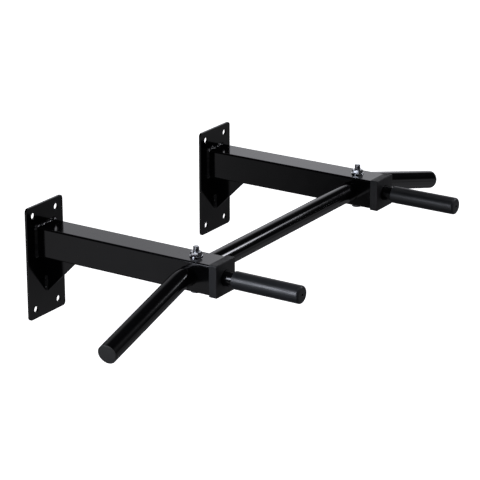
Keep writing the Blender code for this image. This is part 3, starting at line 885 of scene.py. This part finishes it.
class AddGrips(Operator):
    """Soft sleeves with a closed, rounded end that has a small vent hole."""

    bl_idname = "pull_up_bar.grips"
    bl_label = "Grips"

    def execute(self, context):
        size = sizes("handle")
        vent = size.vent / 2
        for side in SIDES:
            node = side + "_grip"
            outer, deep = extent(node).x / 2, extent(node).y
            inner = extent(side + "_handle_tube").x / 2 + clearance()
            floor = deep - size.grip_end_wall
            sleeve = [(vent, deep), (outer, deep), (outer, 0.0), (inner, 0.0), (inner, floor)]
            shape = turned([*sleeve, (vent, floor)], size.sides, True)
            soften(shape, size.grip_end, 8, on_ring(outer, deep))
            soften(shape, size.grip_mouth, 3, on_ring(outer, 0.0))
            soften(shape, size.hole_rim, 3, on_ring(vent, deep))
            place(shape, forward_from(node))
            finished(node, shape, soft_vinyl(), RUBBERY)
        return {"FINISHED"}


def hexagon(bolt, height, both_ends):
    """A hexagonal prism on Z = 0 with the conical chamfers of a turned blank."""
    corner = bolt.across_flats / 2 / math.cos(math.pi / 6)
    shape = rod(2 * corner, height, 6, shift((0.0, 0.0, height / 2)))
    face, spare = bolt.turned_face / 2, 2.0 * MM
    wide = corner + spare
    drop = (wide - face) * math.tan(bolt.chamfer)
    lower = [(wide, drop), (face, 0.0)] if both_ends else [(wide, -spare)]
    blank = [(0.0, height), (face, height), (wide, height - drop), *lower, (0.0, lower[-1][1])]
    return carve(shape, turned(blank, 72), "INTERSECT")


class AddClampNuts(Operator):
    """Thin hexagon nuts with chamfered corners, tightened on the clamp bolts."""

    bl_idname = "pull_up_bar.clamp_nuts"
    bl_label = "Clamp nuts"

    def execute(self, context):
        bolt = sizes("fastener")
        bore = bolt.diameter + 2 * clearance()
        for side in SIDES:
            node = side + "_clamp_nut"
            shape = hexagon(bolt, extent(node).z, True)
            shape = carve(shape, rod(bore, THROUGH, 48, Matrix.Identity(4)))
            soften(shape, bolt.bore_rim, 2, lambda at: at.xy.length < bore / 2)
            place(shape, upright_at(node) @ Matrix.Rotation(getattr(bolt, side + "_turn"), 4, "Z"))
            finished(node, shape, bright_zinc(), PLATED, smooth=20.0)
        return {"FINISHED"}


class AddWashers(Operator):
    """Flat washers above and below each arm."""

    bl_idname = "pull_up_bar.washers"
    bl_label = "Washers"

    def execute(self, context):
        bolt = sizes("fastener")
        bore = bolt.diameter / 2 + clearance()
        for node in [side + end for side in SIDES for end in ("_washer_upper", "_washer_lower")]:
            rim, tall = extent(node).x / 2, extent(node).z
            shape = turned([(bore, tall), (rim, tall), (rim, 0.0), (bore, 0.0)], 64, True)
            soften(shape, bolt.washer_rim, 3)
            place(shape, upright_at(node))
            finished(node, shape, bright_zinc(), PLATED)
        return {"FINISHED"}


TURN_STEPS = 32
SPARE_TURNS = 2  # to be cut off


class AddClampBolts(Operator):
    """Hexagon bolts from below, with a cut thread that stands out of the nut."""

    bl_idname = "pull_up_bar.clamp_bolts"
    bl_label = "Clamp bolts"

    def execute(self, context):
        bolt = sizes("fastener")
        for side in SIDES:
            node = side + "_clamp_bolt"
            tall = extent(node).z
            shape = self.thread(bolt, tall)
            self.add_shank(shape, bolt, tall)
            place(shape, upright_at(node))
            finished(node, shape, bright_zinc(), PLATED, smooth=40.0, flatten=False)
        return {"FINISHED"}

    def thread(self, bolt, tall):
        """The threaded end: its profile is spun up the bolt and cut off square."""
        shape = bmesh.new()
        crest, root, pitch = bolt.diameter / 2, bolt.root / 2, bolt.pitch
        foot = tall - bolt.threaded - pitch
        turns, steps = math.ceil(bolt.threaded / pitch) + SPARE_TURNS, TURN_STEPS
        profile = ((crest, 0.0), (crest, 0.125), (root, 0.46), (root, 0.66), (crest, 1.0))
        verts = [shape.verts.new((radius, 0.0, foot + pitch * up)) for radius, up in profile]
        edges = [shape.edges.new(pair) for pair in zip(verts, verts[1:])]
        climb = {"dvec": (0.0, 0.0, pitch / steps), "angle": 2 * math.pi * turns}
        ops.spin(shape, geom=verts + edges, steps=steps * turns, **ABOUT_Z, **climb)
        ops.remove_doubles(shape, verts=shape.verts, dist=WELDED)
        for height, way in ((tall, 1.0), (foot + pitch * 1.5, -1.0)):
            geom = shape.verts[:] + shape.edges[:] + shape.faces[:]
            plane = {"plane_co": (0.0, 0.0, height), "plane_no": (0.0, 0.0, way)}
            ops.bisect_plane(shape, geom=geom, clear_outer=True, **plane)
        for vert in shape.verts:
            room = crest - max(0.0, vert.co.z - (tall - bolt.point))
            out = vert.co.xy.length
            if out > room:
                vert.co.xy *= room / out
        ops.holes_fill(shape, edges=open_rims(shape))
        return shape

    def add_shank(self, shape, bolt, tall):
        """The plain shank and the chamfered head, as closed shells that meet the thread."""
        start = tall - bolt.threaded + bolt.pitch / 2
        halfway = shift((0.0, 0.0, (start + bolt.head) / 2))
        shank = rod(bolt.diameter, start - bolt.head, 32, halfway)
        head = hexagon(bolt, bolt.head, False)
        place(head, shift((0.0, 0.0, bolt.head)) @ Matrix.Rotation(math.pi, 4, "X"))
        for part in (shank, head):
            mesh = as_mesh("carving", part)
            shape.from_mesh(mesh)
            bpy.data.meshes.remove(mesh)


class CoatHiddenSteel(Operator):
    """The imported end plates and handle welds, which show only past the caps, get the same coat."""

    bl_idname = "pull_up_bar.hidden_steel"
    bl_label = "Steel inside the caps"

    def execute(self, context):
        for node in [side + end for side in SIDES for end in ("_end_plate", "_handle_weld")]:
            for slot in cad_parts[node].material_slots:
                slot.link = "OBJECT"
                slot.material = powder_coat()
        return {"FINISHED"}


# Stage

# What the gloss mirrors, as light by direction. Each patch is joined to those before it by the
# operation that it names first, and is a product of ramps, which say what they read, their start
# and end in degrees, and the level before and after. "turn" goes round the object: 0 is behind the
# wall, 90 to the right, -90 to the left. "off" is turn without its sign, and "rise" the height
# above the horizon.
HORIZON = ("rise", -8, 2, 0, 1)
SURROUNDINGS = {
    "floor_glow": (
        "ADD",
        ("turn", -60.5, -54.5, 0, 0.30), ("turn", -51, -44, 1, 0.1), ("rise", -36, -26, 0.1, 1),
    ),
    "floor_boards": (
        "ADD",
        ("turn", 80, 112, 0.07, 0.16), ("rise", -21.5, -19, 1, 0.35), ("rise", -18, -15.5, 1, 2.8),
    ),
    "doorway": (
        "ADD",
        ("turn", -106, -96, 0, 1.8), ("turn", -86, -78, 1, 0.45),
        ("turn", -74, -63, 1, 0), ("rise", -40, -28, 0, 1),
    ),
    "below_horizon": ("MULTIPLY", ("rise", -8, -1, 1, 0)),
    "ceiling": ("ADD", ("rise", 70, 80, 0, 2.6), ("turn", 50, 90, 1, 0.3)),
    "behind_camera": ("ADD", HORIZON, ("off", 132, 146, 0, 0.2)),
    "backdrop": (
        "MAXIMUM", HORIZON, ("turn", 38, 50, 0.28, 0.66), ("turn", 10, 30, 0, 1),
        ("turn", 53.5, 59, 1, 1.48), ("turn", 66, 84, 1, 0), ("rise", 20, 36, 1, 0),
    ),
    "side_wall": (
        "MAXIMUM", HORIZON,
        ("turn", 15, 35, 0, 0.29), ("turn", 46, 60, 1, 0), ("rise", 32, 56, 1, 0),
    ),
}
UNLIT = 0.012  # what the darkest part of the room still gives back
ROOM_TINT = (0.98, 0.985, 1.04, 1.0)
WHITE = (1.0, 1.0, 1.0, 1.0)


class BuildStage(Operator):
    """Camera, a white paper floor, the room that the gloss mirrors, and two soft boxes."""

    bl_idname = "pull_up_bar.stage"
    bl_label = "Stage"

    def execute(self, context):
        stage = sizes("stage")
        scene = context.scene
        scene.view_settings.view_transform = "Standard"
        self.camera(scene, stage)
        self.floor(stage)
        self.surroundings(scene)
        self.lamps()
        return {"FINISHED"}

    def camera(self, scene, stage):
        lens = bpy.data.cameras.new("camera")
        lens.lens = stage.lens
        camera = added("camera", lens)
        turn, rise = stage.azimuth, stage.elevation
        level, out = math.sin(rise), math.cos(rise)
        right = Vector((math.cos(turn), math.sin(turn), 0.0))
        back = Vector((math.sin(turn) * out, -math.cos(turn) * out, level))
        roll = Matrix.Rotation(stage.roll, 3, back)
        axes = Matrix((roll @ right, roll @ back.cross(right), back)).transposed().to_4x4()
        spot = Vector(stage.aim) + back * stage.distance
        camera.matrix_world = shift(spot) @ axes
        scene.camera = camera

    def floor(self, stage):
        """White seamless paper, which shows to the camera and isn't mirrored."""
        shape = bmesh.new()
        ops.create_grid(shape, x_segments=8, y_segments=8, size=stage.floor_width / 2)
        depth = PACKED_BOX[0][2] - stage.floor_below
        mesh = as_mesh("paper_floor", place(shape, shift((0.0, 0.0, depth))))
        mesh.materials.append(seamless_paper())
        floor = added("paper_floor", mesh)
        floor.visible_glossy = False
        floor.visible_diffuse = False

    def surroundings(self, scene):
        """A dim room with the patches of light above. The camera itself sees only white."""
        world = bpy.data.worlds.new("studio")
        scene.world = world
        tree = blank_tree(world)
        way = add_node(tree, "TexCoord").outputs["Generated"]
        x, y, z = add_node(tree, "SeparateXYZ", {"Vector": way}).outputs
        angles = {
            "rise": add_node(tree, "Math", {0: z}, operation="ARCSINE"),
            "turn": add_node(tree, "Math", {0: x, 1: y}, operation="ARCTAN2"),
        }
        for name, radians in angles.items():
            angles[name] = add_node(tree, "Math", {0: radians}, operation="DEGREES")
        angles["off"] = add_node(tree, "Math", {0: angles["turn"]}, operation="ABSOLUTE")
        level = 0.0
        for operation, *ramps in SURROUNDINGS.values():
            patch = ramped(tree, *((angles[reads], *ramp) for reads, *ramp in ramps))
            level = add_node(tree, "Math", {0: level, 1: patch}, operation=operation)
        strength = add_node(tree, "Math", {0: level, 1: UNLIT}, operation="ADD")
        room = add_node(tree, "Background", {"Color": ROOM_TINT, "Strength": strength})
        white = add_node(tree, "Background", {"Color": WHITE, "Strength": 1.0})
        eye = add_node(tree, "LightPath").outputs["Is Camera Ray"]
        mixed = add_node(tree, "MixShader", {0: eye, 1: room, 2: white})
        add_node(tree, "OutputWorld", {"Surface": mixed})

    def lamps(self):
        """Two soft boxes that fade outward: a small, dim one left and a strong one right."""
        spot, aim = Vector((-0.95, -0.10, 0.25)), Vector((-0.25, -0.75, 0.0))
        left = self.soft_box(
            "left_soft_box",
            spot,
            (aim - spot).to_track_quat("-Z", "Y").to_matrix(),
            {"size": 0.46, "size_y": 0.40, "energy": 4.5, "color": (0.94, 0.98, 1.10)},
            fades=((0.0, 0.4, 0.6, 1.0), (0.0, 0.4, 0.6, 1.0)),
        )
        left.data.spread = math.radians(100.0)
        along, up = Vector((0.431, 0.877, 0.215)), Vector((-0.522, 0.048, 0.851))
        right = self.soft_box(
            "right_soft_box",
            Vector((2.377, -1.974, 1.676)),
            Matrix((along, up, along.cross(up))).transposed(),
            {"size": 1.747, "size_y": 0.792, "energy": 268.0, "color": (0.97, 0.98, 1.06)},
            fades=((0.0, 0.62, 0.02, 0.96), (0.0, 0.38, 0.38, 0.96)),
        )
        self.keep_off(right)

    def soft_box(self, name, spot, turn, settings, fades):
        """A lit cloth that fades toward its edges.

        Each way over the cloth has four places on it, from 0 to 1: the light comes up from the
        first to the second, and goes down from the third to the fourth.
        """
        light = bpy.data.lights.new(name, "AREA")
        light.shape = "RECTANGLE"
        for setting, value in settings.items():
            setattr(light, setting, value)
        tree = blank_tree(light)
        cloth = add_node(tree, "NewGeometry").outputs["Parametric"]
        sides = add_node(tree, "SeparateXYZ", {"Vector": cloth}).outputs
        ramps = []
        for part, (rises, risen, falls, fallen) in zip(sides, fades):
            ramps += [(part, rises, risen, 0.0, 1.0), (part, falls, fallen, 1.0, 0.0)]
        glow = add_node(tree, "Emission", {"Strength": ramped(tree, *ramps)})
        add_node(tree, "OutputLight", {"Surface": glow})
        lamp = added(name, light)
        lamp.visible_camera = False
        lamp.matrix_world = shift(spot) @ turn.to_4x4()
        return lamp

    def keep_off(self, lamp):
        """Takes a lamp off the flat steel, whose own double mirroring would polarise it away."""
        shaded = bpy.data.collections.new("not_lit_by_" + lamp.name)
        for side in SIDES:
            for name in ("_wall_plate_coated", "_arm_tube_coated"):
                piece = bpy.data.objects.get(side + name)
                if piece:
                    shaded.objects.link(piece)
        lamp.light_linking.receiver_collection = shaded
        for entry in shaded.collection_objects:
            entry.light_linking.link_state = "EXCLUDE"


STEPS = (
    AddWallPlates, AddArms, AddGussets, AddWelds, AddPullUpBar, AddBarPlugs, AddHandleTubes,
    AddArmCaps, AddGrips, AddClampNuts, AddWashers, AddClampBolts, CoatHiddenSteel, BuildStage,
)


class PullUpBarPanel(Panel):
    """Lists the steps that build the finished object."""

    bl_idname = "VIEW3D_PT_pull_up_bar"
    bl_label = "Pull-up bar"
    bl_space_type = "VIEW_3D"
    bl_region_type = "UI"
    bl_category = "Pull-up bar"

    def draw(self, context):
        column = self.layout.column(align=True)
        for step in STEPS:
            column.operator(step.bl_idname)
        for group in GROUPS:
            box = self.layout.box()
            box.label(text=group.capitalize())
            owner = sizes(group)
            for name in GROUPS[group].__annotations__:
                box.prop(owner, name)


def register():
    for made in (*GROUPS.values(), *STEPS, PullUpBarPanel):
        bpy.utils.register_class(made)
    for group, made in GROUPS.items():
        setattr(bpy.types.Scene, "pull_up_bar_" + group, PointerProperty(type=made))


def unregister():
    for group in GROUPS:
        delattr(bpy.types.Scene, "pull_up_bar_" + group)
    for made in (PullUpBarPanel, *reversed(STEPS), *reversed(GROUPS.values())):
        bpy.utils.unregister_class(made)


def main():
    register()
    for step in STEPS:
        group, name = step.bl_idname.split(".")
        getattr(getattr(bpy.ops, group), name)()


if __name__ == "__main__":
    main()
